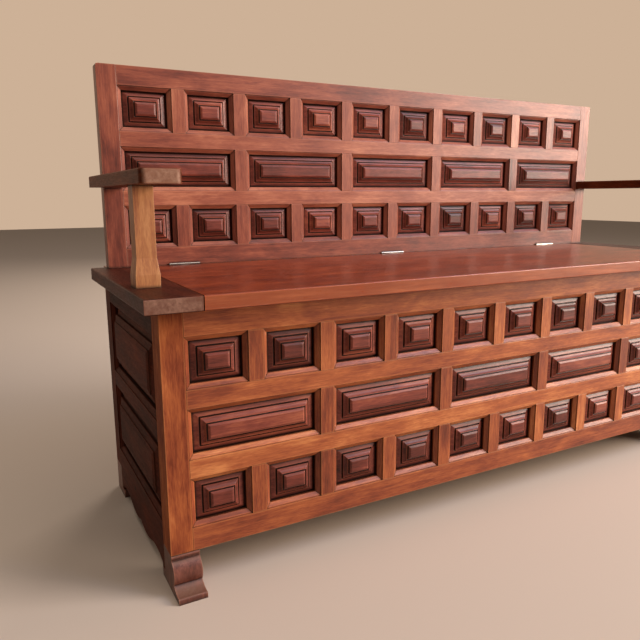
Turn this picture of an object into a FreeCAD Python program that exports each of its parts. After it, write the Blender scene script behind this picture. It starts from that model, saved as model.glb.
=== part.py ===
# Settle bench: a panelled chest with a hinged seat lid, a panelled backrest, arms and scroll feet.
# All lengths are in millimetres. X runs along the bench, Y from front to back, Z up.
import FreeCAD, Part
import os
import Sketcher

App = FreeCAD
doc = App.newDocument("SettleBench")
sheet = doc.addObject("Spreadsheet::Sheet", "Sizes")


class Size:
    """A length that knows its present number and the sheet formula that it comes from."""

    def __init__(self, number, text):
        self.number = float(number)
        self.text = text

    def __add__(self, other):
        other = as_size(other)
        return Size(self.number + other.number, "(%s + %s)" % (self.text, other.text))

    def __sub__(self, other):
        other = as_size(other)
        return Size(self.number - other.number, "(%s - %s)" % (self.text, other.text))

    def __mul__(self, other):
        other = as_size(other)
        return Size(self.number * other.number, "(%s * %s)" % (self.text, other.text))

    def __truediv__(self, other):
        other = as_size(other)
        return Size(self.number / other.number, "(%s / %s)" % (self.text, other.text))

    def __neg__(self):
        return self * -1

    __radd__ = __add__
    __rmul__ = __mul__

    def __rsub__(self, other):
        return as_size(other) - self


def as_size(value):
    if isinstance(value, Size):
        return value
    return Size(value, "%.6g" % value)


class Sizes:
    pass


s = Sizes()
cells = []


def cell(name, content, number):
    """Writes one named cell of the sheet, and keeps its number and formula under the same name."""
    cells.append(name)
    row = len(cells)
    sheet.set("A%d" % row, name)
    sheet.set("B%d" % row, content)
    sheet.setAlias("B%d" % row, name)
    setattr(s, name, Size(number, "Sizes." + name))


def derived(name, value):
    """A size that follows from others, kept in the sheet as a formula."""
    cell(name, "=" + value.text.replace("Sizes.", ""), value.number)


def smaller(first, second):
    return Size(min(first.number, second.number), "min(%s; %s)" % (first.text, second.text))


# Overall sizes
frame_width = 1265
chest_depth = 410
seat_height = 455
overall_height = 815
foot_height = 60

# Faces of the frame members, from arris to arris
stile_face = 34.5
side_stile_face = 42
muntin_face = 24.5
chest_top_rail_face = 42.5
chest_mid_rail_face = 28.5
chest_bottom_rail_face = 36.5
back_top_rail_face = 34
back_mid_rail_face = 27
back_bottom_rail_face = 35
stile_corner_radius = 4
frame_thickness = 26
back_frame_thickness = 25.5
wide_columns = 5

# The moulding that runs round each opening, and the panel groove behind it
moulding_width = 7.5
moulding_depth = 6.5
quirk_width = 1.5
quirk_depth = 2
groove_front = 12
groove_width = 6
groove_depth = 13.5
tongue_end_gap = 3
panel_clearance = 0.2
tenon_shoulder = 0.5
tenon_end_clearance = 0.5
panel_edge_clearance = 0.5

# The steps of a panel. Each bevel takes a share of what is left between the last one and the panel's middle.
first_bevel_share = 0.3175
second_bevel_share = 0.442
third_bevel_share = 0.375
side_first_bevel_share = 0.21
side_second_bevel_share = 0.25
side_third_bevel_share = 0.2
end_bevel_extra = 2.5
first_bevel_rise = 3
first_step_rise = 4.5
second_bevel_rise = 3
second_step_rise = 2
third_bevel_rise = 1.7

# Seat, lid and hinges
seat_thickness = 22
seat_front_overhang = 43.5
seat_side_overhang = 28
end_board_width = 80
lid_end_gap = 1.5
seat_edge_radius = 2.5
back_ledge = 30.5
batten_width = 45
batten_thickness = 18
batten_inset = 150
batten_end_clearance = 12
hinge_length = 60
hinge_end_inset = 89
leaf_thickness = 1.4
leaf_height = 19
knuckle_radius = 2
knuckle_seat_gap = 0.1
knuckle_back_gap = 0.7
pin_radius = 1
pin_clearance = 0.05
knuckle_gap = 0.3
leaf_clearance = 0.05
leaf_joint = 0.1

# Arms and their posts
arm_width = 56
arm_thickness = 19.5
arm_height = 166
arm_outset = 24
arm_corner_radius = 9
arm_edge_radius = 2.5
arm_post_width = 29.5
arm_post_set_in = 64
post_base_width = 36
post_base_height = 19
post_flare_height = 43

# Feet and the wavy side apron
front_foot_width = 43.5
front_foot_run = 13
rear_foot_run = 20
foot_apron_gap = 0.5
toe_reach = 35
toe_height = 9
foot_bulge = 13
foot_bead_height = 5
foot_cove_height = 3
bulge_lift = 1
bulge_return = 4
toe_rise = 8
toe_hollow = 3
toe_round = 3
rear_foot_round = 4
apron_clearance_height = 21.5
apron_wave_height = 6.5
apron_wave_inset = 13
apron_edge_margin = 0.2

# Chest back and floor
back_board_thickness = 12
back_board_joint = 0.6
back_board_count = 3
bearer_width = 20
bearer_height = 18
bearer_lift = 6
floor_thickness = 12
floor_board_count = 9
floor_board_joint = 1
floor_end_clearance = 0.5

# How far a cutting outline runs past the wood that it cuts
cut_margin = 1

for name, number in list(globals().items()):
    if type(number) in (int, float):
        cell(name, "%g" % number, number)

# Sizes that follow from those above
derived("small_columns", 2 * s.wide_columns)
derived("opening_width", (s.frame_width - 2 * s.stile_face - (s.small_columns - 1) * s.muntin_face) / s.small_columns)
derived("column_pitch", s.opening_width + s.muntin_face)
derived("wide_opening", 2 * s.opening_width + s.muntin_face)
derived("chest_height", s.seat_height - s.seat_thickness - s.foot_height)
derived("chest_opening", (s.chest_height - s.chest_top_rail_face - 2 * s.chest_mid_rail_face
                          - s.chest_bottom_rail_face) / 3)
derived("back_height", s.overall_height - s.seat_height)
derived("back_opening", (s.back_height - s.back_top_rail_face - 2 * s.back_mid_rail_face
                         - s.back_bottom_rail_face) / 3)
derived("side_opening", (s.chest_height - s.chest_top_rail_face - s.chest_mid_rail_face
                         - s.chest_bottom_rail_face) / 2)
derived("side_rail_length", s.chest_depth - 2 * s.side_stile_face)
derived("rail_length", s.frame_width - 2 * s.stile_face)
derived("tongue_length", s.groove_depth - s.tongue_end_gap)
derived("tenon_inset", s.groove_depth - s.moulding_width + s.tenon_shoulder)
derived("hinge_gap", 2 * (s.leaf_thickness + s.leaf_clearance) + s.leaf_joint)
derived("knuckle_rise", s.knuckle_radius + s.knuckle_seat_gap)
derived("front_foot_length", s.side_stile_face + s.front_foot_run)
derived("rear_foot_length", s.side_stile_face + s.rear_foot_run)
derived("front_y", s.seat_front_overhang / 2 - s.chest_depth / 2)
derived("left_x", s.frame_width / -2)
derived("chest_top", s.seat_height - s.seat_thickness)
derived("post_width", s.stile_face + s.moulding_width)
derived("post_depth", s.side_stile_face + s.moulding_width)
derived("groove_back", s.groove_front + s.groove_width)
derived("tenon_length", s.groove_depth - s.moulding_width - s.tenon_end_clearance)

ZERO = as_size(0)
bodies = []


def place(obj, x, y, z, axis=None, degrees=0):
    """Sets an object in the bench, turned about one axis and moved to x, y, z."""
    axis = axis or App.Vector(0, 0, 1)
    x, y, z = as_size(x), as_size(y), as_size(z)
    obj.Placement = App.Placement(App.Vector(x.number, y.number, z.number), App.Rotation(axis, degrees))
    obj.setExpression("Placement.Base.x", x.text)
    obj.setExpression("Placement.Base.y", y.text)
    obj.setExpression("Placement.Base.z", z.text)


def new_body(label):
    body = doc.addObject("PartDesign::Body", label)
    body.Label = label
    if hasattr(body, "AllowCompound"):
        body.AllowCompound = True
    bodies.append(body)
    return body


def origin_part(body, role):
    for feature in body.Origin.OriginFeatures:
        if feature.Role == role:
            return feature


def new_sketch(body, role, offset=None):
    sketch = body.newObject("Sketcher::SketchObject", "Outline")
    sketch.AttachmentSupport = [(origin_part(body, role), "")]
    sketch.MapMode = "FlatFace"
    if offset is not None:
        sketch.setExpression("AttachmentOffset.Base.z", as_size(offset).text)
    return sketch


def pin(sketch, edge, end, x, y):
    """Fixes one point of a sketch at x, y from the sketch origin."""
    for kind, axis_line, value in (("DistanceX", -2, x), ("DistanceY", -1, y)):
        if value is ZERO:
            sketch.addConstraint(Sketcher.Constraint("PointOnObject", edge, end, axis_line))
        else:
            index = sketch.addConstraint(Sketcher.Constraint(kind, -1, 1, edge, end, value.number))
            sketch.setExpression("Constraints[%d]" % index, value.text)


def outline(sketch, points):
    """Draws a closed outline. A point marked "through" bends the edge between its neighbours."""
    corners = []
    bends = {}
    for point in points:
        if point[0] == "through":
            bends[len(corners) - 1] = (as_size(point[1]), as_size(point[2]))
        else:
            x = ZERO if point[0] == 0 and not isinstance(point[0], Size) else as_size(point[0])
            y = ZERO if point[1] == 0 and not isinstance(point[1], Size) else as_size(point[1])
            corners.append((x, y))
    vectors = [App.Vector(x.number, y.number, 0) for x, y in corners]
    edges = []
    for i in range(len(corners)):
        start = vectors[i]
        end = vectors[(i + 1) % len(corners)]
        if i in bends:
            bend = bends[i]
            middle = App.Vector(bend[0].number, bend[1].number, 0)
            edge = sketch.addGeometry(Part.Arc(start, middle, end), False)
            forward = sketch.getPoint(edge, 1).distanceToPoint(start) < 1e-6
            marker = sketch.addGeometry(Part.Point(middle), True)
            pin(sketch, marker, 1, bend[0], bend[1])
            sketch.addConstraint(Sketcher.Constraint("PointOnObject", marker, 1, edge))
            edges.append((edge, 1, 2) if forward else (edge, 2, 1))
        else:
            edges.append((sketch.addGeometry(Part.LineSegment(start, end), False), 1, 2))
    for i, (edge, first, last) in enumerate(edges):
        pin(sketch, edge, first, corners[i][0], corners[i][1])
        following = edges[(i + 1) % len(edges)]
        sketch.addConstraint(Sketcher.Constraint("Coincident", edge, last, following[0], following[1]))


def pad(body, sketch, length):
    feature = body.newObject("PartDesign::Pad", "Pad")
    feature.Profile = sketch
    feature.setExpression("Length", as_size(length).text)
    sketch.Visibility = False
    return feature


def pocket(body, sketch, depth=None, reverse=False):
    feature = body.newObject("PartDesign::Pocket", "Pocket")
    feature.Profile = sketch
    feature.Reversed = reverse
    if depth is None:
        feature.Type = 1
    else:
        feature.setExpression("Length", as_size(depth).text)
    sketch.Visibility = False
    return feature


def repeat(body, features, role, span, count, reverse=False):
    """Repeats features in a straight row and makes the row the tip of its body."""
    pattern = body.newObject("PartDesign::LinearPattern", "Row")
    pattern.Originals = features
    pattern.Direction = (origin_part(body, role), [""])
    pattern.Reversed = reverse
    pattern.setExpression("Length", as_size(span).text)
    pattern.setExpression("Occurrences", as_size(count).text)
    body.Tip = pattern
    return pattern


def block(body, x, y, z, length, width, height):
    """Adds a rectangular block with its low corner at x, y, z."""
    feature = body.newObject("PartDesign::AdditiveBox", "Block")
    for name, value in (("Length", length), ("Width", width), ("Height", height)):
        feature.setExpression(name, as_size(value).text)
    for name, value in (("x", x), ("y", y), ("z", z)):
        feature.setExpression("Placement.Base." + name, as_size(value).text)
    return feature


def wing(face, sign, thickness):
    """Edge section of a member on its upper (+1) or lower (-1) side: moulding, then the panel groove."""
    base = face if sign > 0 else as_size(0)
    sight = base + sign * s.moulding_width
    deep = sight - sign * s.groove_depth
    points = [(s.quirk_depth, base), (s.quirk_depth, base + sign * s.quirk_width), (s.moulding_depth, sight),
              (s.groove_front, sight), (s.groove_front, deep), (s.groove_back, deep), (s.groove_back, sight),
              (thickness, sight)]
    return points if sign > 0 else points[::-1]


def member(label, length, face, thickness, upper, lower, upper_gaps=None, lower_gaps=None, tenons=True):
    """A frame member along local X with its face at local Y = 0 and its lower arris at local Z = 0.

    upper and lower say which edges carry the moulding. Each list of gaps holds a first position, a width,
    a pitch and a count: there another member's face meets this one, between mitres."""
    body = new_body(label)
    section = new_sketch(body, "YZ_Plane")
    points = [(0, 0), (0, face)]
    points += wing(face, 1, thickness) if upper else [(thickness, face)]
    points += wing(face, -1, thickness) if lower else [(thickness, 0)]
    outline(section, points)
    features = [pad(body, section, length)]
    reach = s.moulding_width + s.cut_margin
    mitres = new_sketch(body, "XZ_Plane")
    for sign, used, base in ((1, upper, as_size(face)), (-1, lower, as_size(0))):
        if used:
            far = base + sign * reach
            outline(mitres, [(0, base), (reach, far), (-s.cut_margin, far), (-s.cut_margin, base)])
            outline(mitres, [(length, base), (length - reach, far), (length + s.cut_margin, far),
                             (length + s.cut_margin, base)])
    if upper or lower:
        features.append(pocket(body, mitres))
    for sign, gaps, base in ((1, upper_gaps, as_size(face)), (-1, lower_gaps, as_size(0))):
        if gaps:
            first, width, pitch, count = gaps
            far = base + sign * reach
            notch = new_sketch(body, "XZ_Plane")
            outline(notch, [(first, base), (first + width, base), (first + width + reach, far), (first - reach, far)])
            cut = pocket(body, notch)
            repeat(body, [cut], "X_Axis", pitch * (count - 1), count)
    if tenons:
        stub = new_sketch(body, "YZ_Plane", -s.tenon_length)
        front = s.groove_front + s.panel_clearance
        back = s.groove_back - s.panel_clearance
        outline(stub, [(front, s.tenon_inset), (front, face - s.tenon_inset),
                       (back, face - s.tenon_inset), (back, s.tenon_inset)])
        features.append(pad(body, stub, length + 2 * s.tenon_length))
    return body, features


def rail(label, x, y, z, face, thickness, upper_count, lower_count):
    """A horizontal front or back rail. The counts are the openings above it and below it."""
    def gaps(count):
        if count is None:
            return None
        width = (s.rail_length - (count - 1) * s.muntin_face) / count
        return (width, s.muntin_face, width + s.muntin_face, count - 1)
    body, features = member(label, s.rail_length, face, thickness, upper_count is not None,
                            lower_count is not None, gaps(upper_count), gaps(lower_count))
    place(body, x, y, z)
    return body


def muntins(label, x, y, z_top, height, thickness, pitch, count):
    """A row of upright bars between two rails, hung from the upper rail's arris."""
    body, features = member(label, height, s.muntin_face, thickness, True, True)
    repeat(body, features, "Z_Axis", pitch * (count - 1), count)
    place(body, x, y, z_top, App.Vector(0, 1, 0), 90)
    return body


def panels(label, width, height, shares, pitch=None, count=None):
    """A row of stepped panels. Local X and Z start at the arris of the first opening, the face is Y = 0."""
    body = new_body(label)
    edge = s.moulding_width - s.tongue_length
    foot = s.moulding_width + s.panel_edge_clearance
    middle = smaller(as_size(width), as_size(height)) / 2
    first = foot + (middle - foot) * shares[0]
    second = first + (middle - first) * shares[1]
    field = second + (middle - second) * shares[2]
    front = s.groove_front + s.panel_clearance
    depths = [front]
    for rise in (s.first_bevel_rise, s.first_step_rise, s.second_bevel_rise, s.second_step_rise, s.third_bevel_rise):
        depths.append(depths[-1] - rise)
    features = [block(body, edge, front, edge, width - 2 * edge, s.groove_width - 2 * s.panel_clearance,
                      height - 2 * edge)]
    for i, (near, far) in enumerate(((foot, first), (first, first), (first, second), (second, second),
                                     (second, field))):
        low, high = depths[i + 1], depths[i]
        near_end = foot if near is foot else near + s.end_bevel_extra
        far_end = far + s.end_bevel_extra
        if near is far:
            features.append(block(body, near_end, low, near, width - 2 * near_end, high - low, height - 2 * near))
        else:
            slope = body.newObject("PartDesign::AdditiveWedge", "Bevel")
            for name, value in (("Xmin", far_end), ("Xmax", width - far_end), ("Zmin", far), ("Zmax", height - far),
                                ("X2min", near_end), ("X2max", width - near_end), ("Z2min", near),
                                ("Z2max", height - near), ("Ymin", low), ("Ymax", high)):
                slope.setExpression(name, as_size(value).text)
            features.append(slope)
    if count is not None:
        repeat(body, features, "X_Axis", pitch * (count - 1), count)
    return body


def box_body(label, x, y, z, length, width, height):
    body = new_body(label)
    block(body, 0, 0, 0, length, width, height)
    place(body, x, y, z)
    return body


def rounded(body, radius, chosen):
    """Rounds the edges of the body's present shape that the test picks out by their middle point."""
    doc.recompute()
    base = body.Tip
    names = []
    for i, edge in enumerate(base.Shape.Edges):
        middle = edge.valueAt((edge.FirstParameter + edge.LastParameter) / 2)
        along = (edge.Vertexes[-1].Point - edge.Vertexes[0].Point).normalize()
        if chosen(middle, along):
            names.append("Edge%d" % (i + 1))
    feature = body.newObject("PartDesign::Fillet", "Rounding")
    feature.Base = (base, names)
    feature.setExpression("Radius", as_size(radius).text)
    return feature


# Chest front: rails, muntins and panels in three rows
chest_faces = [s.chest_bottom_rail_face, s.chest_mid_rail_face, s.chest_mid_rail_face, s.chest_top_rail_face]
back_faces = [s.back_bottom_rail_face, s.back_mid_rail_face, s.back_mid_rail_face, s.back_top_rail_face]
row_names = ["bottom", "middle", "top"]
front_shares = [s.first_bevel_share, s.second_bevel_share, s.third_bevel_share]
side_shares = [s.side_first_bevel_share, s.side_second_bevel_share, s.side_third_bevel_share]


def panelled_front(prefix, y, z_low, opening, faces, thickness):
    """Rails, muntins and panels of one long frame, from the bottom rail up."""
    inner_x = s.left_x + s.stile_face
    counts = [s.small_columns, s.wide_columns, s.small_columns]
    z = z_low
    for i, face in enumerate(faces):
        name = ("bottom", "lower_middle", "upper_middle", "top")[i]
        above = counts[i] if i < 3 else None
        below = counts[i - 1] if i > 0 else None
        rail("%s_%s_rail" % (prefix, name), inner_x, y, z, face, thickness, above, below)
        if i < 3:
            wide = i == 1
            width = s.wide_opening if wide else s.opening_width
            pitch = width + s.muntin_face
            low = z + face
            muntins("%s_%s_muntins" % (prefix, row_names[i]), inner_x + width, y, low + opening, opening, thickness,
                    pitch, counts[i] - 1)
            row = panels("%s_%s_panels" % (prefix, row_names[i]), width, opening, front_shares, pitch, counts[i])
            place(row, inner_x, y, low)
            z = low + opening


panelled_front("chest", s.front_y, s.foot_height, s.chest_opening, chest_faces, s.frame_thickness)


# Corner posts of the chest
def corner_post(label, hand, rear):
    """A chest corner post, drawn from its outer corner. hand is 1 on the left and -1 on the right."""
    turn = -1 if rear else 1

    def at(x, y):
        return (hand * as_size(x) if not (isinstance(x, int) and x == 0) else 0,
                turn * as_size(y) if not (isinstance(y, int) and y == 0) else 0)

    body = new_body(label)
    plan = new_sketch(body, "XY_Plane")
    sight = s.post_depth
    points = [at(0, 0)]
    if rear:
        rebate = s.post_width - s.back_board_thickness
        points += [at(rebate, 0), at(rebate, s.back_board_thickness), at(s.post_width, s.back_board_thickness)]
    else:
        side = s.post_width
        points += [at(s.stile_face, 0), at(s.stile_face, s.quirk_depth),
                   at(s.stile_face + s.quirk_width, s.quirk_depth), at(side, s.moulding_depth),
                   at(side, s.groove_front), at(side - s.groove_depth, s.groove_front),
                   at(side - s.groove_depth, s.groove_back), at(side, s.groove_back)]
    points += [at(s.post_width, sight), at(s.groove_back, sight), at(s.groove_back, sight - s.groove_depth),
               at(s.groove_front, sight - s.groove_depth), at(s.groove_front, sight), at(s.moulding_depth, sight),
               at(s.quirk_depth, s.side_stile_face + s.quirk_width), at(s.quirk_depth, s.side_stile_face),
               at(0, s.side_stile_face)]
    outline(plan, points)
    pad(body, plan, s.chest_height)
    reach = s.moulding_width + s.cut_margin

    def notches(sketch, direction, arris, faces, opening):
        z = as_size(0)
        far = arris + reach
        for i, face in enumerate(faces):
            low_far = z - reach if i > 0 else -s.cut_margin
            low_near = z if i > 0 else -s.cut_margin
            top = z + face
            high_near = top if i < len(faces) - 1 else top + s.cut_margin
            high_far = top + reach if i < len(faces) - 1 else top + s.cut_margin
            outline(sketch, [(direction * arris, low_near), (direction * far, low_far),
                             (direction * far, high_far), (direction * arris, high_near)])
            z = top + opening

    if not rear:
        front = new_sketch(body, "XZ_Plane")
        notches(front, hand, s.stile_face, chest_faces, s.chest_opening)
        pocket(body, front, s.frame_thickness)
    side = new_sketch(body, "YZ_Plane")
    side_faces = [s.chest_bottom_rail_face, s.chest_mid_rail_face, s.chest_top_rail_face]
    notches(side, turn, s.side_stile_face, side_faces, s.side_opening)
    pocket(body, side, s.frame_thickness, reverse=hand > 0)
    return body


for side_name, hand in (("left", 1), ("right", -1)):
    outer_x = hand * s.left_x
    front_post = corner_post("%s_front_post" % side_name, hand, False)
    place(front_post, outer_x, s.front_y, s.foot_height)
    rear_post = corner_post("%s_rear_post" % side_name, hand, True)
    place(rear_post, outer_x, s.front_y + s.chest_depth, s.foot_height)

    # Side frame: local X runs front to back on the right side and back to front on the left side
    angle = -90 if hand > 0 else 90
    start_y = s.front_y + (s.chest_depth - s.side_stile_face if hand > 0 else s.side_stile_face)
    up = App.Vector(0, 0, 1)
    z = s.foot_height
    apron_drop = s.foot_height - s.apron_clearance_height + s.apron_wave_height
    body, features = member("%s_side_bottom_rail" % side_name, s.side_rail_length,
                            s.chest_bottom_rail_face + apron_drop, s.frame_thickness, True, False, tenons=False)
    wave = new_sketch(body, "XZ_Plane")
    chord = (s.side_rail_length - 2 * s.apron_wave_inset) / 4
    middle = s.apron_wave_height
    points = [(s.apron_wave_inset, -s.cut_margin), (s.apron_wave_inset, middle)]
    for i, lift in enumerate((1, -1, -1, 1)):
        begin = s.apron_wave_inset + chord * i
        points += [("through", begin + chord / 2, middle + lift * (s.apron_wave_height - s.apron_edge_margin)),
                   (begin + chord, middle)]
    points.append((s.side_rail_length - s.apron_wave_inset, -s.cut_margin))
    outline(wave, points)
    pocket(body, wave)
    place(body, outer_x, start_y, z - apron_drop, up, angle)
    z = z + s.chest_bottom_rail_face
    row = panels("%s_side_lower_panel" % side_name, s.side_rail_length, s.side_opening, side_shares)
    place(row, outer_x, start_y, z, up, angle)
    z = z + s.side_opening
    body, features = member("%s_side_middle_rail" % side_name, s.side_rail_length, s.chest_mid_rail_face,
                            s.frame_thickness, True, True)
    place(body, outer_x, start_y, z, up, angle)
    z = z + s.chest_mid_rail_face
    row = panels("%s_side_upper_panel" % side_name, s.side_rail_length, s.side_opening, side_shares)
    place(row, outer_x, start_y, z, up, angle)
    z = z + s.side_opening
    body, features = member("%s_side_top_rail" % side_name, s.side_rail_length, s.chest_top_rail_face,
                            s.frame_thickness, False, True)
    place(body, outer_x, start_y, z, up, angle)

# Chest back: plain planks let into the rear posts, with a rail behind their top and bottom edges
rear_y = s.front_y + s.chest_depth
plank_x = s.left_x + s.post_width - s.back_board_thickness
plank_height = (s.chest_height - (s.back_board_count - 1) * s.back_board_joint) / s.back_board_count
body = new_body("chest_back_boards")
plank = block(body, 0, 0, 0, -2 * plank_x, s.back_board_thickness, plank_height)
repeat(body, [plank], "Z_Axis", (plank_height + s.back_board_joint) * (s.back_board_count - 1), s.back_board_count)
place(body, plank_x, rear_y - s.back_board_thickness, s.foot_height)
inner_x = s.left_x + s.post_width
rail_y = rear_y - s.back_board_thickness - s.frame_thickness
box_body("chest_back_top_rail", inner_x, rail_y, s.chest_top - s.chest_top_rail_face,
         -2 * inner_x, s.frame_thickness, s.chest_top_rail_face)
box_body("chest_back_bottom_rail", inner_x, rail_y, s.foot_height,
         -2 * inner_x, s.frame_thickness, s.chest_bottom_rail_face)

# Chest floor: short boards across the depth, carried by a bearer on the front rail and one on the back rail
floor_front = s.front_y + s.frame_thickness
floor_z = s.foot_height + s.bearer_lift + s.bearer_height
body = new_body("floor_bearers")
block(body, 0, 0, 0, -2 * inner_x, s.bearer_width, s.bearer_height)
block(body, 0, rail_y - floor_front - s.bearer_width, 0, -2 * inner_x, s.bearer_width, s.bearer_height)
place(body, inner_x, floor_front, s.foot_height + s.bearer_lift)
body = new_body("floor_boards")
board_width = (-2 * inner_x - (s.floor_board_count - 1) * s.floor_board_joint) / s.floor_board_count
board = block(body, 0, s.floor_end_clearance, 0, board_width, rail_y - floor_front - 2 * s.floor_end_clearance,
              s.floor_thickness)
repeat(body, [board], "X_Axis", (board_width + s.floor_board_joint) * (s.floor_board_count - 1), s.floor_board_count)
strip_width = s.post_width - s.frame_thickness - s.floor_end_clearance - s.floor_board_joint
strip_front = s.post_depth - s.frame_thickness + s.floor_end_clearance
strip_length = s.chest_depth - 2 * (s.post_depth + s.floor_end_clearance)
for strip_x in (-s.floor_board_joint - strip_width, -2 * inner_x + s.floor_board_joint):
    block(body, strip_x, strip_front, 0, strip_width, strip_length, s.floor_thickness)
place(body, inner_x, floor_front, floor_z)

# Feet. A corner's arc passes this share of its radius inside the square corner.
corner_bend = 0.3
for side_name, hand in (("left", 1), ("right", -1)):
    outer_x = hand * s.left_x
    body = new_body("%s_front_foot" % side_name)
    profile = new_sketch(body, "YZ_Plane")
    top = s.foot_height
    bead = s.foot_bead_height
    neck = top - bead - s.foot_cove_height
    waist = s.toe_height + s.toe_rise
    step_z = s.apron_clearance_height - s.apron_wave_height - s.foot_apron_gap
    outline(profile, [
        (s.front_foot_length, 0), (s.front_foot_length, step_z), (s.side_stile_face, step_z),
        (s.side_stile_face, top), (0, top),
        ("through", -bead / 2, top - bead / 2), (0, top - bead),
        (0, neck),
        ("through", -s.foot_bulge, (neck + waist) / 2 + s.bulge_lift), (-s.foot_bulge + s.bulge_return, waist),
        ("through", -s.foot_bulge - s.toe_hollow, s.toe_height + s.toe_hollow),
        (-s.toe_reach + s.toe_round, s.toe_height),
        ("through", -s.toe_reach + s.toe_round * corner_bend, s.toe_height - s.toe_round * corner_bend),
        (-s.toe_reach, s.toe_height - s.toe_round),
        (-s.toe_reach, 0)])
    pad(body, profile, s.front_foot_width)
    place(body, outer_x if hand > 0 else outer_x - s.front_foot_width, s.front_y, 0)
    body = new_body("%s_rear_foot" % side_name)
    profile = new_sketch(body, "YZ_Plane")
    outline(profile, [
        (0, 0), (0, top), (-s.side_stile_face, top), (-s.side_stile_face, step_z),
        (-s.rear_foot_length + s.rear_foot_round, step_z),
        ("through", -s.rear_foot_length + s.rear_foot_round * corner_bend, step_z - s.rear_foot_round * corner_bend),
        (-s.rear_foot_length, step_z - s.rear_foot_round),
        (-s.rear_foot_length, 0)])
    pad(body, profile, s.post_width)
    place(body, outer_x if hand > 0 else outer_x - s.post_width, rear_y, 0)

# Seat: a fixed board at each end, a fixed board under the backrest, and the lid between them
seat_front = s.front_y - s.seat_front_overhang
back_rear = rear_y - s.back_ledge
back_front = back_rear - s.back_frame_thickness
lid_rear = back_front - s.knuckle_radius - s.knuckle_back_gap - s.hinge_gap / 2
rail_front = lid_rear + s.hinge_gap
end_inner = s.end_board_width - s.seat_side_overhang
for side_name, hand in (("left", 1), ("right", -1)):
    outer_x = hand * (s.left_x - s.seat_side_overhang)
    body = box_body("%s_end_board" % side_name, outer_x if hand > 0 else outer_x - s.end_board_width, seat_front,
                    s.chest_top, s.end_board_width, back_rear - seat_front, s.seat_thickness)
    outer = 0 if hand > 0 else s.end_board_width.number
    rounded(body, s.seat_edge_radius, lambda middle, along:
            (abs(middle.y) < 0.01 and abs(along.x) > 0.9) or (abs(middle.x - outer) < 0.01 and abs(along.y) > 0.9))
body = new_body("rear_seat_board")
plan = new_sketch(body, "XY_Plane")
width = s.frame_width - 2 * end_inner
outline(plan, [(0, 0), (width, 0), (width, back_rear - rail_front), (width + end_inner, back_rear - rail_front),
               (width + end_inner, rear_y - rail_front), (-end_inner, rear_y - rail_front),
               (-end_inner, back_rear - rail_front), (0, back_rear - rail_front)])
pad(body, plan, s.seat_thickness)
place(body, s.left_x + end_inner, rail_front, s.chest_top)
lid_x = s.left_x + end_inner + s.lid_end_gap
body = box_body("seat_lid", lid_x, seat_front, s.chest_top, -2 * lid_x, lid_rear - seat_front, s.seat_thickness)
rounded(body, s.seat_edge_radius, lambda middle, along: abs(middle.y) < 0.01 and abs(along.x) > 0.9)
batten_y = floor_front + s.batten_end_clearance
body = new_body("lid_battens")
batten = block(body, 0, 0, 0, s.batten_width, lid_rear - s.batten_end_clearance - batten_y, s.batten_thickness)
repeat(body, [batten], "X_Axis", -2 * (s.left_x + s.post_width + s.batten_inset) - s.batten_width, 2)
place(body, s.left_x + s.post_width + s.batten_inset, batten_y, s.chest_top - s.batten_thickness)

# Backrest
for side_name, hand in (("left", 1), ("right", -1)):
    outer_x = hand * s.left_x
    body = new_body("back_%s_stile" % side_name)
    plan = new_sketch(body, "XY_Plane")
    inner = s.post_width
    outline(plan, [(0, 0), (hand * s.stile_face, 0), (hand * s.stile_face, s.quirk_depth),
                   (hand * (s.stile_face + s.quirk_width), s.quirk_depth), (hand * inner, s.moulding_depth),
                   (hand * inner, s.groove_front), (hand * (inner - s.groove_depth), s.groove_front),
                   (hand * (inner - s.groove_depth), s.groove_back), (hand * inner, s.groove_back),
                   (hand * inner, s.back_frame_thickness), (0, s.back_frame_thickness)])
    pad(body, plan, s.back_height)
    cuts = new_sketch(body, "XZ_Plane")
    reach = s.moulding_width + s.cut_margin
    z = as_size(0)
    far = s.stile_face + reach
    for i, face in enumerate(back_faces):
        top = z + face
        outline(cuts, [(hand * s.stile_face, z if i > 0 else -s.cut_margin),
                       (hand * far, z - reach if i > 0 else -s.cut_margin),
                       (hand * far, top + reach if i < 3 else top + s.cut_margin),
                       (hand * s.stile_face, top if i < 3 else top + s.cut_margin)])
        z = top + s.back_opening
    pocket(body, cuts)
    place(body, outer_x, back_front, s.seat_height)
    rounded(body, s.stile_corner_radius, lambda middle, along:
            abs(middle.x) < 0.01 and middle.z > s.back_height.number - 0.01 and abs(along.y) > 0.9)
panelled_front("back", back_front, s.seat_height, s.back_opening, back_faces, s.back_frame_thickness)

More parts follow.
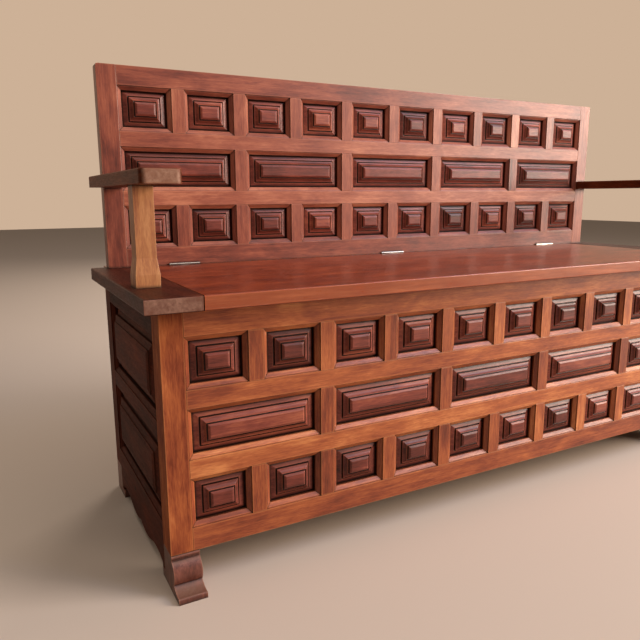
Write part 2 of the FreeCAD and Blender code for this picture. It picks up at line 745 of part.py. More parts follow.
# Arms and arm posts
arm_z = s.seat_height + s.arm_height - s.arm_thickness
post_x = s.arm_width / 2 - s.arm_outset
for side_name, hand in (("left", 1), ("right", -1)):
    outer_x = hand * (s.left_x - s.arm_outset)
    body = box_body("%s_arm" % side_name, outer_x if hand > 0 else outer_x - s.arm_width, seat_front, arm_z,
                    s.arm_width, back_front - seat_front, s.arm_thickness)
    rounded(body, s.arm_corner_radius, lambda middle, along: middle.y < 0.01 and abs(along.z) > 0.9)
    rounded(body, s.arm_edge_radius, lambda middle, along:
            middle.z > s.arm_thickness.number - 0.01 and middle.y < (back_front - seat_front).number - 0.01)
    body = new_body("%s_arm_post" % side_name)
    half = s.arm_post_width / 2
    base_half = s.post_base_width / 2
    block(body, -half, -half, 0, s.arm_post_width, s.arm_post_width, arm_z - s.seat_height)
    block(body, -base_half, -base_half, 0, s.post_base_width, s.post_base_width, s.post_base_height)
    flare = body.newObject("PartDesign::AdditiveWedge", "Flare")
    for name, value in (("Xmin", -base_half), ("Xmax", base_half), ("Zmin", -base_half), ("Zmax", base_half),
                        ("X2min", -half), ("X2max", half), ("Z2min", -half), ("Z2max", half),
                        ("Ymin", s.post_base_height), ("Ymax", s.post_flare_height)):
        flare.setExpression(name, as_size(value).text)
    flare.Placement = App.Placement(App.Vector(0, 0, 0), App.Rotation(App.Vector(1, 0, 0), 90))
    place(body, hand * (s.left_x + post_x), s.front_y + s.arm_post_set_in + half, s.seat_height)

# Hinges: three butt hinges with their leaves in the joint behind the lid
axis_y = lid_rear + s.hinge_gap / 2
axis_z = s.seat_height + s.knuckle_rise
hinge_spacing = -lid_x - s.hinge_end_inset
knuckle = (s.hinge_length - 2 * s.knuckle_gap) / 3
bore = s.pin_radius + s.pin_clearance


def leaf(label, side, knuckle_places):
    """Leaves of one side of the three hinges: a thin plate with rolled knuckles round the pin."""
    body = new_body(label)
    plate_y = s.hinge_gap / 2 - s.leaf_thickness - s.leaf_clearance
    low_y = plate_y if side > 0 else -plate_y - s.leaf_thickness
    features = [block(body, -s.hinge_length / 2, low_y, -s.leaf_height - s.knuckle_rise, s.hinge_length,
                      s.leaf_thickness, s.leaf_height)]
    for start in knuckle_places:
        features.append(block(body, start, low_y, -s.knuckle_rise - s.cut_margin, knuckle, s.leaf_thickness,
                              s.knuckle_rise + s.cut_margin))
        ring = new_sketch(body, "YZ_Plane", start)
        outer_circle = ring.addGeometry(Part.Circle(App.Vector(0, 0, 0), App.Vector(0, 0, 1), 3), False)
        ring.addConstraint(Sketcher.Constraint("Coincident", outer_circle, 3, -1, 1))
        index = ring.addConstraint(Sketcher.Constraint("Radius", outer_circle, s.knuckle_radius.number))
        ring.setExpression("Constraints[%d]" % index, s.knuckle_radius.text)
        features.append(pad(body, ring, knuckle))
    hole = new_sketch(body, "YZ_Plane", -s.hinge_length / 2 - s.cut_margin)
    circle = hole.addGeometry(Part.Circle(App.Vector(0, 0, 0), App.Vector(0, 0, 1), 1), False)
    hole.addConstraint(Sketcher.Constraint("Coincident", circle, 3, -1, 1))
    index = hole.addConstraint(Sketcher.Constraint("Radius", circle, bore.number))
    hole.setExpression("Constraints[%d]" % index, bore.text)
    features.append(pocket(body, hole, s.hinge_length + 2 * s.cut_margin, reverse=True))
    repeat(body, features, "X_Axis", 2 * hinge_spacing, 3)
    place(body, -hinge_spacing, axis_y, axis_z)
    return body


leaf("hinge_leaves_fixed", 1, [-s.hinge_length / 2, s.hinge_length / 2 - knuckle])
leaf("hinge_leaves_lid", -1, [-knuckle / 2])
body = new_body("hinge_pins")
circle_sketch = new_sketch(body, "YZ_Plane", -s.hinge_length / 2)
circle = circle_sketch.addGeometry(Part.Circle(App.Vector(0, 0, 0), App.Vector(0, 0, 1), 1), False)
circle_sketch.addConstraint(Sketcher.Constraint("Coincident", circle, 3, -1, 1))
index = circle_sketch.addConstraint(Sketcher.Constraint("Radius", circle, s.pin_radius.number))
circle_sketch.setExpression("Constraints[%d]" % index, s.pin_radius.text)
rod = pad(body, circle_sketch, s.hinge_length)
repeat(body, [rod], "X_Axis", 2 * hinge_spacing, 3)
place(body, -hinge_spacing, axis_y, axis_z)

doc.recompute()

for obj in doc.Objects:
    if "Invalid" in obj.State or "Error" in obj.State:
        raise RuntimeError("%s (%s) is in state %s" % (obj.Name, obj.Label, obj.State))
os.makedirs("parts", exist_ok=True)
for body in bodies:
    if body.Shape.isNull() or not body.Shape.isValid():
        raise RuntimeError("%s has no valid shape" % body.Label)
    body.Shape.exportStep("parts/%s.step" % body.Label)
print("wrote", len(bodies), "sub-parts")
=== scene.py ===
# %% [markdown]
# # A panelled settle bench
# The real thing is a chest with a seat for its lid, a tall back and two flat arms. All of it is softwood,
# stained dark and waxed to a satin shine, so the whole look rests on one material used with care. The
# joinery comes from the CAD model. This lesson is about what makes plain solids look like old polished
# timber: eased arrises, grain that runs the way each board was cut, stain that has gathered in the corners,
# and one large window of light from the side.

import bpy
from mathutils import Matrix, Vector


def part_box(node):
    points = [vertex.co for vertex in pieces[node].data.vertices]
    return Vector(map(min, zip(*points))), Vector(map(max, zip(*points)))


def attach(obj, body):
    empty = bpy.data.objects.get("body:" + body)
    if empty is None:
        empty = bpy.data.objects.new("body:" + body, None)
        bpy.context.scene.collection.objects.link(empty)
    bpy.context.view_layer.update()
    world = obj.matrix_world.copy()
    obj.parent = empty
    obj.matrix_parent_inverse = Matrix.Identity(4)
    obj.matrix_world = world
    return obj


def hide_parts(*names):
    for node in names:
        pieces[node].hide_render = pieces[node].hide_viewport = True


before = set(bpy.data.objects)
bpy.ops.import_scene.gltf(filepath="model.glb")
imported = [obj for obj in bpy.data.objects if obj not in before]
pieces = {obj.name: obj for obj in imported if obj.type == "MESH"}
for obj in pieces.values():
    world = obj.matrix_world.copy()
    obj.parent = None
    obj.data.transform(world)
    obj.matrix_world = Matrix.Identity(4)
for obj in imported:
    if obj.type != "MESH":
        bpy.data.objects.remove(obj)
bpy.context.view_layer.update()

import fnmatch
import math

import bpy
import numpy as np

scene = bpy.context.scene

# %% [markdown]
# ## Two small helpers
# Colours are written as hex values, as a paint chart gives them, and turned to the linear values that light
# adds up in. A material is a chain of nodes, so one helper adds a node, sets it up and links it. Math nodes
# number their inputs: multiply and add gives input 0 times input 1 plus input 2. A Mix node has its two
# colours at 6 and 7.

# %% Helpers for colours and nodes
MM = 0.001
UNDER = 6
OVER = 7


def linear(hex_colour):
    """Linear RGBA of an sRGB hex colour: each channel goes through the sRGB curve."""
    channels = np.array([int(hex_colour[i:i + 2], 16) / 255 for i in (1, 3, 5)])
    low, high = channels / 12.92, ((channels + 0.055) / 1.055) ** 2.4
    return (*np.where(channels <= 0.04045, low, high), 1.0)


def add(tree, kind, settings, inputs):
    """Adds one node. An input is a value, an output, or a node, which gives its first live output."""
    made = tree.nodes.new("ShaderNode" + kind)
    for name, value in settings.items():
        setattr(made, name, value)
    for name, value in inputs.items():
        if isinstance(value, bpy.types.Node):
            value = next(output for output in value.outputs if output.enabled)
        if isinstance(value, bpy.types.NodeSocket):
            tree.links.new(value, made.inputs[name])
        else:
            made.inputs[name].default_value = value
    return made


print("a middle brown in linear light:", [round(float(c), 3) for c in linear("#8C4A32")])

# %% [markdown]
# ## Where a board came from in the tree
# Every pattern below is solid: it fills space, and the surface shows it wherever the board is cut. So the
# pattern needs coordinates that belong to the board. They are the object's own coordinates, turned so that
# the third one runs along the grain. Boards that look alike but come from different trees need different
# patches of the pattern, so each is moved by a step that White Noise picks from its number. A row of panels
# is one node but ten boards. There row gives an axis, the first edge and the pitch, and the number counts
# the boards by how far along the row a point lies.

# %% Board coordinates
NUMBER_STEP = 1.37
FARTHEST_MOVE = (0.9, 0.9, 2.3)


def board_coordinates(tree, grain, number, row, worn):
    """Gives three outputs for a point of a board.

    They are its object coordinates with the grain third and moved by chance, the board's own chance value,
    and how squarely the face looks along the axis worn.
    """
    surface = add(tree, "TexCoord", {}, {}).outputs
    place = add(tree, "SeparateXYZ", {}, {"Vector": surface["Object"]}).outputs
    facing = add(tree, "SeparateXYZ", {}, {"Vector": surface["Normal"]}).outputs
    across = [axis for axis in "XYZ" if axis != grain]
    turned = add(tree, "CombineXYZ", {}, {"X": place[across[0]], "Y": place[across[1]], "Z": place[grain]})
    if row:
        axis, first, pitch = row
        counted = add(tree, "Math", {"operation": "MULTIPLY_ADD"}, {
            0: place[axis], 1: 1 / pitch, 2: -first / pitch})
        whole = add(tree, "Math", {"operation": "FLOOR"}, {0: counted})
        number = add(tree, "Math", {"operation": "MULTIPLY_ADD"}, {
            0: whole, 1: NUMBER_STEP, 2: float(number)})
    chance = add(tree, "TexWhiteNoise", {"noise_dimensions": "1D"}, {"W": number}).outputs
    moved = add(tree, "VectorMath", {"operation": "MULTIPLY_ADD"}, {
        0: chance["Color"], 1: FARTHEST_MOVE, 2: turned})
    squarely = add(tree, "Math", {"operation": "ABSOLUTE"}, {0: facing[worn]})
    return moved, chance["Value"], squarely


# %% [markdown]
# ## Stained softwood, waxed
# Stain sinks deep into soft wood and hardly at all into hard wood, so its depth follows the wood at three
# sizes: soft patches a hand wide, streaks of growth a few millimetres wide, and fibres. The finest real
# fibres are a fifth of a millimetre wide, which no picture of a whole bench can show, so here they are drawn
# 1.5 mm wide. Each size is a noise pattern stretched along the grain, and the three are added up, each with
# its own weight. A colour ramp then turns depth into colour, from thin orange to deep purple-brown.
#
# The rag that wiped the stain off never reached into the corners, and years of hands have rubbed the arrises
# thin. Ambient Occlusion finds both places: it measures how closed in a point is, so outwards it finds
# corners, and inwards, from under the surface, it finds edges. The dark in the corners is that stain and
# painted shade as well, since it follows how closed in a corner is.
#
# Sawn ends drink in stain like straws, and then go grey as they wear, so they have a tone of their own. On
# the lid it is the front edge that wears, under hands and knees. Both are found by the axis that they face.
# On the end boards and arms the pale tone of the ends is also painted light, for the window on their fronts.

# %% Sizes and strengths of the wood's figure
# Patches, streaks and fibres: their size in millimetres across and along the grain, and their weight
FIGURE = ((45, 110, 0.9), (6, 90, 0.6), (1.5, 14, 0.5))
BOARD_WEIGHT = 0.3
# The depth of stain at which each tone of the ramp is pure
TONE_DEPTHS = (0.12, 0.38, 0.62, 0.9)
KNOT_SPACING = 95 * MM
# A knot's radii in parts of the spacing, and how much deeper the stain is in it
KNOT_CORE = 0.02
KNOT_RIM = 0.05
KNOT_DEPTH = 0.6
# How squarely a face looks along the worn axis where the tone of the ends starts and where it is full, and
# how strong it is; that tone is wear, and partly painted light
END_TONE_FACING = (0.7, 0.95)
END_TONE_STRENGTH = 2.4
# How far Ambient Occlusion looks for arrises and corners, and its values where each starts and is full
ARRIS_REACH = 2.5 * MM
ARRIS_RANGE = (0.95, 0.55)
CORNER_REACH = 6 * MM
CORNER_RANGE = (0.99, 0.5)
# The colour of the stain and painted shade in the corners
CORNER_STAIN_AND_SHADE_TONE = "#1B0A06"
print(len(FIGURE), "patterns of figure, and knots of", round(2 * KNOT_RIM * KNOT_SPACING / MM, 1), "mm")

# %% Sizes and strengths of the wood's surface
# The waves that the plane left and the fibres that stand up in them: how deep, and how strongly they show
WAVE_SPACING = 30 * MM
WAVE_DEPTH = 0.6 * MM
WAVE_STRENGTH = 0.5
FIBRE_DEPTH = 0.12 * MM
FIBRE_STRENGTH = 0.4
ROUGHNESS_SPREAD = 0.16
WAX_ROUGHNESS = 0.22
WOOD_IOR = 1.5
print("waves of", round(WAVE_SPACING / MM), "mm under the wax")


# %% The wood
def stained_wood(
        name, grain, number, row, tones, roughness, coat, shine=0.5, corners=0.85, ends="#7E5B4A", worn=""):
    """Wood in four tones of stain, thin to deep, under a coat of wax.

    The stain and painted shade in the corners are as strong as corners says. The faces that look along the
    axis worn, which is the grain where it is empty, wear towards the tone ends, which is partly painted
    light.
    """
    material = bpy.data.materials.new(name)
    material.use_nodes = True
    tree = material.node_tree
    tree.nodes.clear()
    board, chance, end_on = board_coordinates(tree, grain, number, row, worn or grain)

    # Depth of stain from 0, thin, to 1, deep, around 0.5: each pattern has its own middle at 0.5
    depth = 0.5 - 0.5 * (sum(weight for _, _, weight in FIGURE) + BOARD_WEIGHT)
    depth = add(tree, "Math", {"operation": "MULTIPLY_ADD"}, {0: chance, 1: BOARD_WEIGHT, 2: depth})
    patterns = []
    for width, length, weight in FIGURE:
        stretched = add(tree, "VectorMath", {"operation": "MULTIPLY"}, {
            0: board, 1: (1 / (width * MM), 1 / (width * MM), 1 / (length * MM))})
        pattern = add(tree, "TexNoise", {}, {
            "Vector": stretched, "Scale": 1.0, "Detail": 3.0, "Roughness": 0.6, "Distortion": 0.5})
        depth = add(tree, "Math", {"operation": "MULTIPLY_ADD"}, {0: pattern, 1: weight, 2: depth})
        patterns.append(pattern)
    patches, streaks, fibres = patterns

    # A pin knot shows wherever the surface cuts through the middle of a cell of a Voronoi pattern
    cells = add(tree, "VectorMath", {"operation": "MULTIPLY"}, {
        0: board, 1: (1 / KNOT_SPACING, 1 / KNOT_SPACING, 0.5 / KNOT_SPACING)})
    knots = add(tree, "TexVoronoi", {}, {"Vector": cells, "Scale": 1.0}).outputs
    near = add(tree, "MapRange", {}, {
        "Value": knots["Distance"], "From Min": KNOT_CORE, "From Max": KNOT_RIM,
        "To Min": KNOT_DEPTH, "To Max": 0.0})
    depth = add(tree, "Math", {"operation": "ADD"}, {0: depth, 1: near})
    stain = add(tree, "ValToRGB", {}, {"Fac": depth})
    ramp = stain.color_ramp
    for _ in tones[2:]:
        ramp.elements.new(0.5)
    for stop, position, tone in zip(ramp.elements, TONE_DEPTHS, tones):
        stop.position = position
        stop.color = linear(tone)

    # Worn sawn ends, partly painted light, rubbed arrises, and stain with painted shade in the corners
    ends_worn_and_painted_light = add(tree, "MapRange", {}, {
        "Value": end_on, "From Min": END_TONE_FACING[0], "From Max": END_TONE_FACING[1], "To Max": END_TONE_STRENGTH})
    ends_worn_and_painted_light = add(tree, "Math", {"operation": "MULTIPLY"}, {0: ends_worn_and_painted_light, 1: streaks})
    ends_worn_and_painted_light = add(tree, "Math", {"operation": "MULTIPLY"}, {0: ends_worn_and_painted_light, 1: patches})
    colour = add(tree, "Mix", {"data_type": "RGBA"}, {"Factor": ends_worn_and_painted_light, UNDER: stain, OVER: linear(ends)})
    edge = add(tree, "AmbientOcclusion", {"samples": 4, "inside": True, "only_local": True}, {
        "Distance": ARRIS_REACH})
    bare = add(tree, "MapRange", {}, {
        "Value": edge.outputs["AO"], "From Min": ARRIS_RANGE[0], "From Max": ARRIS_RANGE[1], "To Max": 1.0})
    bare = add(tree, "Math", {"operation": "MULTIPLY"}, {0: bare, 1: streaks})
    colour = add(tree, "Mix", {"data_type": "RGBA"}, {"Factor": bare, UNDER: colour, OVER: linear(tones[0])})
    # Painted shade: the wood turns dark wherever Ambient Occlusion finds a closed-in corner, for stain and
    # for shade
    nook = add(tree, "AmbientOcclusion", {"samples": 8}, {"Distance": CORNER_REACH})
    corner_stain_and_shade = add(tree, "MapRange", {"interpolation_type": "SMOOTHSTEP"}, {
        "Value": nook.outputs["AO"], "From Min": CORNER_RANGE[0], "From Max": CORNER_RANGE[1],
        "To Max": corners})
    colour = add(tree, "Mix", {"data_type": "RGBA"}, {
        "Factor": corner_stain_and_shade, UNDER: colour, OVER: linear(CORNER_STAIN_AND_SHADE_TONE)})

    # The plane left the surface slightly wavy, and the fibres stand up in it
    waves = add(tree, "TexNoise", {}, {"Vector": board, "Scale": 1 / WAVE_SPACING, "Detail": 2.0})
    planed = add(tree, "Bump", {}, {"Strength": WAVE_STRENGTH, "Distance": WAVE_DEPTH, "Height": waves})
    raised = add(tree, "Bump", {}, {
        "Strength": FIBRE_STRENGTH, "Distance": FIBRE_DEPTH, "Height": fibres, "Normal": planed})
    satin = add(tree, "MapRange", {"clamp": False}, {
        "Value": fibres, "To Min": roughness - ROUGHNESS_SPREAD, "To Max": roughness + ROUGHNESS_SPREAD})
    shader = add(tree, "BsdfPrincipled", {}, {
        "Base Color": colour, "Roughness": satin, "IOR": WOOD_IOR, "Specular IOR Level": shine,
        "Coat Weight": coat, "Coat Roughness": WAX_ROUGHNESS, "Normal": raised})
    add(tree, "OutputMaterial", {}, {"Surface": shader})
    return material


# %% [markdown]
# ## Which stain and which way each board was cut
# Each stain has its four tones, thin to deep, and how the wax over it shines. The pieces that the camera
# sees at a grazing angle are nearly matt, because a shine there would only mirror the pale room. Rails run
# along the bench, so their grain runs along X. Stiles, muntins, posts and feet stand up, so theirs runs
# along Z. The end boards, the arms and the sides run from front to back, along Y. A panel is cut with its
# grain along its length. The table of woods is read from the top, and the first pattern that fits a node's
# name gives its wood.

# %% Stains of this bench
FRAME_TONES = ("#DC8C54", "#B6643A", "#8E462C", "#52251B")
STAINS = {
    "frame": dict(tones=FRAME_TONES, roughness=0.4, coat=0.04, shine=0.35),
    "corner": dict(tones=FRAME_TONES, roughness=0.6, coat=0.0, shine=0.1),
    # The backrest is the frame's wood: its paler, pinker tones are a painted sheen of the side window
    "backrest": dict(tones=("#C27A5A", "#A05840", "#804030", "#50261E"), roughness=0.42, coat=0.06,
                     shine=0.4),
    "panel": dict(tones=("#AE6044", "#864032", "#602A20", "#32140E"), roughness=0.42, coat=0.05, shine=0.35,
                  corners=1.0),
    "seat": dict(tones=("#B4562C", "#8C381A", "#682411", "#38120A"), roughness=0.32, coat=0.08, shine=0.35,
                 corners=0.7, ends="#B8643E", worn="Y"),
    # The pale ends of the end boards and arms are worn end grain, and partly painted light on their lit
    # fronts
    "end": dict(tones=("#6C3420", "#4E2114", "#38160D", "#220C07"), roughness=0.45, coat=0.0, shine=0.12,
                ends="#A27864"),
    "arm": dict(tones=("#8A4628", "#683019", "#4A2010", "#2A1109"), roughness=0.5, coat=0.0, shine=0.12,
                ends="#AC826A"),
    "post": dict(tones=("#DDA06A", "#BE7C4C", "#98583A", "#5E3224"), roughness=0.45, coat=0.06),
    "foot": dict(tones=("#AE7458", "#875040", "#643529", "#3A1C15"), roughness=0.42, coat=0.1),
    # The sides' tones are darker than the front's partly as painted shade, deepening the shaded left side
    "side": dict(tones=("#74341F", "#562415", "#3E180E", "#240D08"), roughness=0.6, coat=0.0, shine=0.1),
    "back": dict(tones=("#9A6544", "#7B4A31", "#5F3624", "#3C2118"), roughness=0.62, coat=0.0, shine=0.3),
    "bare": dict(tones=("#D9B88E", "#C39D70", "#A67E55", "#7E5A3A"), roughness=0.7, coat=0.0, shine=0.3,
                 corners=0.4),
}
print(len(STAINS), "stains")

# %% Rows of boards and the wood of each node
# A row of boards in one node has an axis, its first edge and its pitch, as measured on the solids
PITCH = 122.05 * MM
FIRST_MUNTIN = -598 * MM
HALF_MUNTIN = 12.25 * MM
SMALL_PANELS = ("X", FIRST_MUNTIN - HALF_MUNTIN, PITCH)
WIDE_PANELS = ("X", FIRST_MUNTIN - HALF_MUNTIN, 2 * PITCH)
SMALL_MUNTINS = ("X", FIRST_MUNTIN - PITCH / 2, PITCH)
WIDE_MUNTINS = ("X", FIRST_MUNTIN - PITCH / 2, 2 * PITCH)
FLOOR_BOARDS = ("X", -591 * MM, 131.33 * MM)
BATTENS = ("X", -579 * MM, 193 * MM)
BACK_PLANKS = ("Z", 60 * MM, 124.6 * MM)
LID_BOARDS = ("Y", -226.75 * MM, 196.7 * MM)
WOODS = (
    ("floor_boards", "bare", "Y", FLOOR_BOARDS),
    ("floor_bearers", "bare", "X", None),
    ("lid_battens", "bare", "Y", BATTENS),
    ("chest_back_*", "back", "X", BACK_PLANKS),
    ("*_middle_panels", "panel", "X", WIDE_PANELS),
    ("*_panels", "panel", "X", SMALL_PANELS),
    ("back_middle_muntins", "backrest", "Z", WIDE_MUNTINS),
    ("back_*_muntins", "backrest", "Z", SMALL_MUNTINS),
    ("*_middle_muntins", "frame", "Z", WIDE_MUNTINS),
    ("*_muntins", "frame", "Z", SMALL_MUNTINS),
    ("*_side_*", "side", "Y", None),
    ("seat_lid", "seat", "X", LID_BOARDS),
    ("rear_seat_board", "seat", "X", None),
    ("*_end_board", "end", "Y", None),
    ("*_arm", "arm", "Y", None),
    ("*_arm_post", "post", "Z", None),
    ("*_rear_post", "side", "Z", None),
    ("*_foot", "foot", "Z", None),
    ("back_*_stile", "backrest", "Z", None),
    ("back_*_rail", "backrest", "X", None),
    ("*_rail", "frame", "X", None),
    ("*_post", "corner", "Z", None),
)
wooden = [name for name in sorted(pieces) if not name.startswith("hinge")]
for number, name in enumerate(wooden):
    stain, grain, row = next(wood[1:] for wood in WOODS if fnmatch.fnmatch(name, wood[0]))
    mesh = pieces[name].data
    mesh.materials.clear()
    title = "stained_" + stain + "_wood_" + name
    mesh.materials.append(stained_wood(title, grain, number, row, **STAINS[stain]))
print(len(wooden), "nodes have their wood")

# %% [markdown]
# ## Rolled steel hinges
# The knuckles of the hinges are rolled steel, rubbed bright where the lid swings and dull elsewhere. Steel
# has no colour of its own under its reflections, so the material is all reflection: metallic, fairly smooth,
# and cloudy where a thin film of wax and rust lies on it.

# %% Hinge steel
FILM_SPACING = 5 * MM
DENT_DEPTH = 0.05 * MM
RUBBED_ROUGHNESS = 0.2
DULL_ROUGHNESS = 0.45
steel = bpy.data.materials.new("rolled_steel")
steel.use_nodes = True
tree = steel.node_tree
tree.nodes.clear()
place = add(tree, "TexCoord", {}, {}).outputs["Object"]
film = add(tree, "TexNoise", {}, {"Vector": place, "Scale": 1 / FILM_SPACING, "Detail": 4.0})
tone = add(tree, "Mix", {"data_type": "RGBA"}, {
    "Factor": film, UNDER: linear("#8A847C"), OVER: linear("#CFCAC2")})
polish = add(tree, "MapRange", {}, {"Value": film, "To Min": DULL_ROUGHNESS, "To Max": RUBBED_ROUGHNESS})
dents = add(tree, "Bump", {}, {"Strength": 0.3, "Distance": DENT_DEPTH, "Height": film})
shader = add(tree, "BsdfPrincipled", {}, {
    "Base Color": tone, "Metallic": 1.0, "Roughness": polish, "Normal": dents})
add(tree, "OutputMaterial", {}, {"Surface": shader})
hinges = [name for name in pieces if name.startswith("hinge")]
for name in hinges:
    pieces[name].data.materials.clear()
    pieces[name].data.materials.append(steel)
print(len(hinges), "nodes are steel")

# %% [markdown]
# ## Raised panels with quirks
# A raised panel is planed in stages from its edge: a long bevel, a hollow one, a short one, and the flat
# field. Between them runs a quirk, a groove two millimetres wide, where stain and dust gather. The dark
# lines that draw the panel's steps there are that stain and painted shade, from the wood's darkening of
# corners.
# The solids have plain steps there, so each row of panels gets a finer mesh in their place.
#
# Seen from the front, a panel is a set of rectangles inside each other. So the mesh is one profile, a list
# of insets and depths, carried along the rectangular path. Carrying a profile keeps the mitres true, which
# boxes and wedges placed one by one wouldn't. A row is computed in one go, as an array of panels by profile
# points by corners.

# %% The profile of a panel
# Insets from the opening and depths behind the frame's face, in millimetres. At the two ends of a panel,
# everything past the border lies farther in by END_EXTRA.
TONGUE = 3.0
BORDER = 8.0
BACK_DEPTH = 17.8
END_EXTRA = 2.5
BACK_AND_BORDER = [(-TONGUE, BACK_DEPTH), (-TONGUE, 12.2), (BORDER, 12.2)]
LONG_BEVEL = [(16.5, 8.6)]
OUTER_QUIRK = [(16.8, 10.6), (18.2, 10.6), (18.5, 6.6)]
HOLLOW_BEVEL = [(20.4, 6.0), (22.2, 4.9), (23.9, 3.2), (25.3, 0.9)]
INNER_QUIRK = [(25.6, 2.6), (27.2, 2.6), (27.5, -0.1)]
EDGE_OF_FIELD = [(31.0, -2.0)]
PROFILE = np.array(
    BACK_AND_BORDER + LONG_BEVEL + OUTER_QUIRK + HOLLOW_BEVEL + INNER_QUIRK + EDGE_OF_FIELD) * MM
print("the profile of a panel has", len(PROFILE), "points")


# %% A row of panels from the profile
def panel_row(name, node, pitch):
    """Makes the panels that stand for a node of them, as one mesh of profile rings.

    Each corner is the panel's middle plus a corner direction times the half size less the inset, at the
    depth.
    """
    low, high = (np.array(corner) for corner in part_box(node))
    size_x = (high[0] - low[0]) % pitch
    count = round((high[0] - low[0] - size_x) / pitch) + 1
    insets, depths = PROFILE.T
    end_insets = np.where(insets > BORDER * MM, insets + END_EXTRA * MM, insets)
    half_x = size_x / 2 - TONGUE * MM - end_insets
    half_z = (high[2] - low[2]) / 2 - TONGUE * MM - insets
    corners = np.array([(-1, -1), (1, -1), (1, 1), (-1, 1)])
    middles = low[0] + size_x / 2 + pitch * np.arange(count)
    points = np.zeros((count, len(PROFILE), 4, 3))
    points[..., 0] = middles[:, None, None] + half_x[:, None] * corners[:, 0]
    points[..., 1] = (high[1] - BACK_DEPTH * MM + depths)[:, None]
    points[..., 2] = (low[2] + high[2]) / 2 + half_z[:, None] * corners[:, 1]
    start = 4 * len(PROFILE) * np.arange(count)[:, None, None]
    ring, side = np.meshgrid(4 * np.arange(len(PROFILE) - 1), np.arange(4), indexing="ij")
    after = (side + 1) % 4
    bands = np.stack([ring + side, ring + after, ring + 4 + after, ring + 4 + side], -1)
    caps = np.array([(3, 2, 1, 0), 4 * (len(PROFILE) - 1) + np.arange(4)])
    faces = np.concatenate([bands.reshape(1, -1, 4) + start, caps[None] + start], 1)
    mesh = bpy.data.meshes.new(name)
    mesh.from_pydata(points.reshape(-1, 3).tolist(), [], faces.reshape(-1, 4).tolist())
    mesh.materials.append(pieces[node].data.materials[0])
    row = bpy.data.objects.new(name, mesh)
    scene.collection.objects.link(row)
    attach(row, "chest")
    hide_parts(node)
    front = round(points[..., 1].min() / MM, 2)
    print(name, count, "panels", round(size_x / MM, 1), "mm wide, front at", front)
    return row


# %% Panels of the chest and the backrest
panel_rows = {}
for part in ("chest", "back"):
    for level, pitch in (("top", PITCH), ("middle", 2 * PITCH), ("bottom", PITCH)):
        name = part + "_" + level + "_raised_panels"
        panel_rows[name] = panel_row(name, part + "_" + level + "_panels", pitch)
print(len(panel_rows), "rows of panels")

# %% [markdown]
# ## Eased arrises
# No joiner leaves an edge sharp. A few strokes of sandpaper round each arris by half a millimetre, and that
# narrow band is what catches the light along every moulding. The triangles of each node are welded and then
# bevelled wherever two faces meet at an angle. The facets of the panels' hollow bevels meet at about
# fourteen degrees, so flat-faced pieces are bevelled from eight degrees up. Pieces with curves, whose facets
# meet at such angles too, are bevelled from fifty, and weighted normals smooth their curves while their
# broad faces stay flat.

# %% Ease the arrises
WELD_DISTANCE = 0.005 * MM
ARRIS_WIDTH = 0.55 * MM
FLAT_FACED_ANGLE = math.radians(8)
CURVED_ANGLE = math.radians(50)
CURVED = ("*_foot", "*_arm", "*_side_bottom_rail", "*_end_board", "seat_lid", "rear_seat_board")
for name, piece in [*pieces.items(), *panel_rows.items()]:
    curved = any(fnmatch.fnmatch(name, kind) for kind in CURVED)
    weld = piece.modifiers.new("weld", "WELD")
    weld.merge_threshold = WELD_DISTANCE
    if name not in hinges:
        ease = piece.modifiers.new("ease_arrises", "BEVEL")
        ease.width = ARRIS_WIDTH
        ease.segments = 2
        ease.limit_method = "ANGLE"
        ease.angle_limit = CURVED_ANGLE if curved else FLAT_FACED_ANGLE
        ease.use_clamp_overlap = curved
    if curved:
        piece.modifiers.new("smooth_curves", "WEIGHTED_NORMAL")
print("eased", len(wooden) + len(panel_rows), "pieces")

# %% [markdown]
# ## The floor and the air
# The bench stands on a plain pale floor. The air around it is dim and even, which keeps the shadows soft
# without filling them. The camera sees the air as a pale wall, and so do reflections. The floor too is paler
# to them than to the light that it bounces onto the bench, which keeps the shaded side dark.


# %% What the camera and the reflections see
def seen_by_camera(tree):
    """1 for the camera's rays, reflections and what is seen through a thing, and 0 for bounced light."""
    ray = add(tree, "LightPath", {}, {}).outputs
    seen = add(tree, "Math", {"operation": "ADD"}, {0: ray["Is Camera Ray"], 1: ray["Is Glossy Ray"]})
    return add(tree, "Math", {"operation": "ADD"}, {0: seen, 1: ray["Is Transmission Ray"]})


# %% Floor
FLOOR_REACH = 12.0
floor_corners = [(x * FLOOR_REACH, y * FLOOR_REACH, 0) for x, y in ((-1, -1), (1, -1), (1, 1), (-1, 1))]
mesh = bpy.data.meshes.new("floor")
mesh.from_pydata(floor_corners, [], [(0, 1, 2, 3)])
floor = bpy.data.objects.new("floor", mesh)
scene.collection.objects.link(floor)
paint = bpy.data.materials.new("matt_floor_paint")
paint.use_nodes = True
tree = paint.node_tree
tree.nodes.clear()
tone = add(tree, "Mix", {"data_type": "RGBA"}, {
    "Factor": seen_by_camera(tree), UNDER: linear("#78675A"), OVER: linear("#CDBAA8")})
shader = add(tree, "BsdfPrincipled", {}, {"Base Color": tone, "Roughness": 0.9})
add(tree, "OutputMaterial", {}, {"Surface": shader})
mesh.materials.append(paint)
print("floor of", 2 * FLOOR_REACH, "m")

# %% Air
AIR_STRENGTH = 0.16
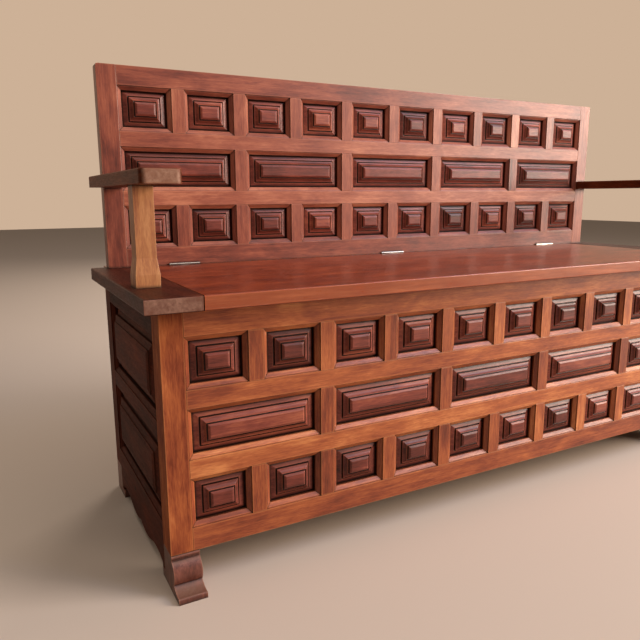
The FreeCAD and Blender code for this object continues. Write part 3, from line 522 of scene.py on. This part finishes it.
# The part of each direction that points away from the camera, where the wall is dark and where it is pale
DARK_WALL = -0.3
PALE_WALL = 0.4
world = bpy.data.worlds.new("pale_room")
scene.world = world
world.use_nodes = True
tree = world.node_tree
tree.nodes.clear()
direction = add(tree, "TexCoord", {}, {}).outputs["Generated"]
away = add(tree, "SeparateXYZ", {}, {"Vector": direction}).outputs["Y"]
paleness = add(tree, "MapRange", {}, {"Value": away, "From Min": DARK_WALL, "From Max": PALE_WALL})
wall_tone = add(tree, "Mix", {"data_type": "RGBA"}, {
    "Factor": paleness, UNDER: linear("#8E7867"), OVER: linear("#CDB197")})
wall = add(tree, "Background", {}, {"Color": wall_tone, "Strength": 1.0})
air = add(tree, "Background", {}, {"Color": linear("#F2E6DA"), "Strength": AIR_STRENGTH})
mixed = add(tree, "MixShader", {}, {0: seen_by_camera(tree), 1: air, 2: wall})
add(tree, "OutputWorld", {}, {"Surface": mixed})
print("air with a strength of", AIR_STRENGTH)

# %% [markdown]
# ## Windows of light
# Soft light comes from large lamps, and its direction from where they stand. A window at the front right
# lights the faces that look that way, leaves the left side in shade, and shows as a sheen on the right half
# of the backrest. A cooler one above it gives the upward slopes of the mouldings and panels their grey
# shine. A weak ceiling and a weak window behind keep the rest, which this camera doesn't see, from going
# black.

# %% Lamps
AIM = (0.0, 0.0, 0.4)
# Name, place, width and height in metres, watts and colour
WINDOWS = (
    ("side_window", (4.0, -2.8, 1.7), 2.2, 2.4, 330, "#FFF0E0"),
    ("sky_window", (2.6, -2.1, 3.2), 2.4, 1.2, 90, "#CFDDFF"),
    ("ceiling", (-0.4, -1.0, 3.4), 3.0, 2.2, 45, "#FFF4EA"),
    ("rear_window", (2.2, 3.3, 1.9), 2.0, 1.6, 75, "#FFF4EA"),
)
for name, place, width, height, watts, colour in WINDOWS:
    lamp = bpy.data.lights.new(name, "AREA")
    lamp.shape = "RECTANGLE"
    lamp.size = width
    lamp.size_y = height
    lamp.energy = watts
    lamp.color = linear(colour)[:3]
    holder = bpy.data.objects.new(name, lamp)
    scene.collection.objects.link(holder)
    holder.location = place
    holder.rotation_euler = (Vector(AIM) - Vector(place)).to_track_quat("-Z", "Y").to_euler()
    print(name, watts, "W")

# %% [markdown]
# ## The camera
# The viewer sits at the left of the bench, about a metre from its corner, with a slightly wide lens, so the
# right end runs out of the picture. The numbers come from the grid of panels, whose pitch is known. Yaw
# turns the view from straight ahead to the right, pitch tips it down and roll leans it, all in radians.

# %% Camera
CAMERA_PLACE = (-0.83775, -1.03676, 0.58506)
SENSOR_WIDTH = 36
FOCAL_LENGTH_IN_PIXELS = 629.17
PICTURE_WIDTH_IN_PIXELS = 640
yaw = 0.49249
pitch = 0.19444
roll = -0.00417
ahead = np.array([math.sin(yaw) * math.cos(pitch), math.cos(yaw) * math.cos(pitch), -math.sin(pitch)])
right = np.array([math.cos(yaw), -math.sin(yaw), 0.0])
up = np.cross(right, ahead)
leaning_right = math.cos(roll) * right + math.sin(roll) * up
leaning_up = -math.sin(roll) * right + math.cos(roll) * up
camera = bpy.data.objects.new("camera", bpy.data.cameras.new("camera"))
scene.collection.objects.link(camera)
turn = Matrix(np.column_stack([leaning_right, leaning_up, -ahead]).tolist()).to_4x4()
camera.matrix_world = Matrix.Translation(CAMERA_PLACE) @ turn
camera.data.sensor_width = SENSOR_WIDTH
camera.data.lens = FOCAL_LENGTH_IN_PIXELS / PICTURE_WIDTH_IN_PIXELS * SENSOR_WIDTH
camera.data.clip_start = 0.05
scene.camera = camera
scene.view_settings.view_transform = "Standard"
print("camera at", [round(c, 3) for c in camera.location])
